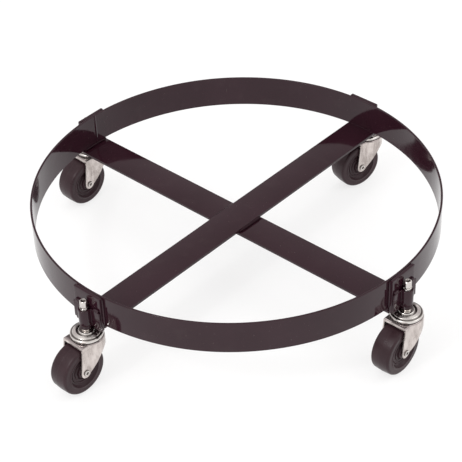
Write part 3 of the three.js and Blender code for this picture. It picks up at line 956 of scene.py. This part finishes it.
def fork_sheet(at, crown_z):
    """The crown, both side panels, and a lip across the front that shares the panels' first
    column. Each is laid out as (ahead, side, height), then stood on the stem's axis."""
    count, rows = 90, 34
    panel = side_panel(crown_z - at["axle"][2], at["trail"], count, rows)
    ring = panel[0, :, :2]
    front = np.linspace(0, 1, 24)[:, None] * [[0, -2 * fork_half]] + [[crown_front, fork_half]]
    crown = crown_disc(np.concatenate([ring[::-1], front[1:-1], ring * [1, -1]]))
    lip = np.repeat(panel[:3, :1], len(front), axis=1)
    lip[..., 1] = front[:, 1]
    open_grids = [panel, panel * [1, -1, 1], lip]
    parts = [(crown, weave(*crown.shape[:2]))]
    parts += [(grid, weave(*grid.shape[:2], close_columns=False)) for grid in open_grids]
    basis = np.stack([at["ahead"], np.cross(up, at["ahead"]), up])
    foot = at["stem"] + up * crown_z
    return [(foot + grid @ basis, woven, grid) for grid, woven in parts]


print("fork crown width and length:", round(2 * fork_half, 4), round(crown_front + crown_radius, 4))

# %% Press the forks
sheet_thickness = 2.0 * mm

for name, at in corners.items():
    crown_z = heights("fork_" + name)[1]
    fork = make_piece("fork_skin_" + name, fork_sheet(at, crown_z), fork_zinc, "swivel_" + name,
                      ["fork_" + name], sharp=50)
    wall = fork.modifiers.new("thickness", "SOLIDIFY")
    wall.thickness = sheet_thickness
    wall.offset = -1
    wall.use_even_offset = True
    edge = fork.modifiers.new("edge", "BEVEL")
    edge.width = 0.35 * mm
    edge.segments = 2
    edge.limit_method = "ANGLE"
    edge.angle_limit = math.radians(60)
    edge.harden_normals = False

# %% [markdown]
# ## Axle rivets and hub sleeves
# The wheel turns on a steel sleeve clamped between the legs by a rivet. One end of the rivet
# is drilled and rolled over into a ring with a hole in its middle, and the other is a plain
# low dome.

# %% Head the rivets and cut the sleeves
def rivet_profile():
    """From the drilled end's hole floor, over its rolled ring, along the shank, to a closed
    dome. Written in millimetres, and seat is the outer face of a leg."""
    seat = 19.95
    hole = [[0, seat - 4.6], [2.0, seat - 4.6], [2.0, seat + 1.2]]
    rolled = [[2.5, seat + 1.75], [3.6, seat + 1.7], [4.6, seat + 1.0], [4.85, seat], [3.9, seat]]
    domed = [[3.9, -seat], [4.85, -seat], [4.7, -seat - 1.0], [3.3, -seat - 1.65], [0, -seat - 1.9]]
    return soften(np.array(hole + rolled + domed) * mm, 0.5 * mm, steps=3, closed=False)


def sleeve_profile():
    """A plain tube as (radius, distance along the axle), with its edges broken."""
    inner, outer, half = 4.25 * mm, 5.8 * mm, 17.2 * mm
    return soften([[inner, -half], [outer, -half], [outer, half], [inner, half]], 0.4 * mm, steps=2)


for name, at in corners.items():
    body = "swivel_" + name
    rivet = turned(rivet_profile(), at["axle"], at["axle_line"], up, turns=40, closed=False)
    make_piece("axle_rivet_skin_" + name, [rivet], rivet_steel, body, ["axle_rivet_" + name])
    sleeve = turned(sleeve_profile(), at["axle"], at["axle_line"], up, turns=32)
    make_piece("hub_sleeve_skin_" + name, [sleeve], bright, body, ["hub_sleeve_" + name])

# %% [markdown]
# ## Wheels
# A solid moulded wheel has a gently crowned tread, round shoulders and a recessed web, with
# raised rings round the hub. The mould's two halves leave a thin line round the middle of
# the tread. One half of the outline is written out and mirrored, then turned about the axle.

# %% Mould the wheels
def wheel_profile():
    """In millimetres, half an outline from the bore to the shoulder, then over the tread as
    radius = 37.93 - 0.55 * (w / 11.2)^2 + a bell at w = 0 for the mould line."""
    face = 15.9
    hub = [[6.1, face + 0.2], [9.6, face + 0.2], [10.6, face - 0.9], [11.2, face - 4.2], [13.0, face - 4.9]]
    first_ridge = [[13.6, face - 3.3], [14.9, face - 3.3], [15.5, face - 4.9], [17.8, face - 5.0]]
    next_ridge = [[18.4, face - 3.6], [19.9, face - 3.6], [20.6, face - 4.8], [22.9, face - 4.4]]
    rim = [[24.9, face - 1.2], [25.5, face + 0.3], [27.1, face + 0.3], [27.9, face - 0.5]]
    shoulders = [[34.2, face - 0.25], [36.4, face - 1.2], [37.4, face - 3.4]]
    trims = [0.3, 0.5, 0.6, 0.8, 0.4, 0.3, 0.3, 0.4, 0.4, 0.3,
             0.3, 0.4, 0.8, 0.5, 0.5, 0.5, 0.6, 0.9, 0.9, 1.2]
    moulded = np.array(hub + first_ridge + next_ridge + rim + shoulders)
    moulded = soften(moulded, trims, steps=3, closed=False)
    w = np.concatenate([np.linspace(11.2, 0, 15)[:-1], [0.5, 0.3, 0.15, 0]])
    fall = np.where(w > 0.5, 0.55 * (w / 11.2) ** 2, 0)
    tread = np.stack([37.93 - fall + 0.16 * bell(w, 0.28), w], axis=1)
    half = np.concatenate([moulded, tread]) * mm
    return np.concatenate([half, half[-2::-1] * [1, -1]])


for name, at in corners.items():
    moulding = turned(wheel_profile(), at["axle"], at["axle_line"], up, turns=120)
    make_piece("wheel_skin_" + name, [moulding], rubber, "rolling_" + name, ["wheel_" + name])

# %% [markdown]
# ## Floor, light and camera
# The floor is one pale sheet that gives off some light of its own, so shadows on it stay
# faint. Light comes from an even white surround, which a gloss black object needs because it
# shows little but its surroundings. A darker card stands behind, so the paint has something
# to mirror that isn't white. Two broad soft lamps give direction, and a small one makes the
# sparkle on bright metal. The camera is far off with a long lens, a little right of square.

# %% Lay the floor
floor_half = 6.0
floor_corners = [(-floor_half, -floor_half, 0), (floor_half, -floor_half, 0),
                 (floor_half, floor_half, 0), (-floor_half, floor_half, 0)]
floor_mesh = bpy.data.meshes.new("floor")
floor_mesh.from_pydata(floor_corners, [], [(0, 1, 2, 3)])
floor = bpy.data.objects.new("floor", floor_mesh)
bpy.context.scene.collection.objects.link(floor)
floor_finish, floor_tree, floor_shader = start_finish("pale_floor")
wire(floor_tree, floor_shader, Base_Color=(0.28, 0.28, 0.28, 1), Roughness=0.9,
     Emission_Color=(1, 1, 1, 1), Emission_Strength=0.72)
floor_mesh.materials.append(floor_finish)
print("floor side, in metres:", 2 * floor_half)

# %% Set the surround
world = bpy.data.worlds.new("studio")
bpy.context.scene.world = world
world.use_nodes = True
sky = world.node_tree
facing = add_node(sky, "SeparateXYZ", Vector=add_node(sky, "TexCoord").outputs["Generated"])
behind = squeeze(sky, facing.outputs[1], 0.05, 0.55, 0, 1)
above_floor = squeeze(sky, facing.outputs[2], 0.16, 0.40, 0, 1)
below_top = squeeze(sky, facing.outputs[2], 0.74, 0.95, 1, 0)
card = math_node(sky, "MULTIPLY", math_node(sky, "MULTIPLY", behind, above_floor), below_top)
glow = blend_colours(sky, card, (1.0, 0.985, 0.975, 1), (0.66, 0.62, 0.625, 1))
wire(sky, sky.nodes["Background"], Color=glow, Strength=1.0)
print("surround:", world.name, "nodes", len(sky.nodes))

# %% Hang the lamps
def spin(v, axis, angle):
    """v * cos + (axis x v) * sin + axis * (axis . v) * (1 - cos): v turned about axis."""
    axis = unit(axis)
    along_axis = axis * (axis @ v) * (1 - math.cos(angle))
    return v * math.cos(angle) + np.cross(axis, v) * math.sin(angle) + along_axis


def aim(holder, place, gaze, roll_angle=0.0, turn_angle=0.0, tilt_angle=0.0):
    """Points an object's -Z along gaze, then turns, tilts and rolls it by small angles."""
    gaze = unit(gaze)
    right = unit(np.cross(gaze, up))
    lift = np.cross(right, gaze)
    gaze, right = spin(gaze, lift, turn_angle), spin(right, lift, turn_angle)
    gaze = spin(gaze, right, tilt_angle)
    lift = np.cross(right, gaze)
    right, lift = spin(right, gaze, roll_angle), spin(lift, gaze, roll_angle)
    matrix = np.eye(4)
    matrix[:3] = np.stack([right, lift, -gaze, place], axis=1)
    holder.matrix_world = Matrix(matrix)


def soft_lamp(name, place, size, power):
    """A round lamp that looks at a point just above the floor, under the hoop's centre."""
    target = np.array([0, 0, 0.1])
    lamp = bpy.data.lights.new(name, "AREA")
    lamp.shape = "DISK"
    lamp.size = size
    lamp.energy = power
    holder = bpy.data.objects.new(name, lamp)
    bpy.context.scene.collection.objects.link(holder)
    aim(holder, place, target - place)
    print(name, "lamp", size, "m across,", power, "W")


soft_lamp("high_left", [-1.5, -1.2, 2.6], size=2.2, power=20)
soft_lamp("high_right", [1.9, -0.4, 2.2], size=1.6, power=8)
soft_lamp("sparkle", [-1.9, -1.7, 2.6], size=0.35, power=14)

# %% Stand the camera
elevation = math.radians(37.405)
heading = math.radians(-92.22)
distance = 8.036 * (hoop_radius - hoop_thickness / 2)
small_turns = {"roll_angle": 0.03649, "turn_angle": 0.00397, "tilt_angle": -0.00939}
target = up * hoop_bottom
level = math.cos(elevation)
ray = np.array([level * math.cos(heading), level * math.sin(heading), math.sin(elevation)])
camera_data = bpy.data.cameras.new("camera")
camera_data.sensor_width = 36
camera_data.lens = 126.54
camera = bpy.data.objects.new("camera", camera_data)
bpy.context.scene.collection.objects.link(camera)
aim(camera, target + ray * distance, -ray, **small_turns)
bpy.context.scene.camera = camera
bpy.context.scene.view_settings.view_transform = "Standard"
print("camera", [round(v, 3) for v in camera.location])

# %% [markdown]
# ## Finish
# The surfaces may not make the dolly any bigger than its solids.

# %% Finish
bpy.context.view_layer.update()
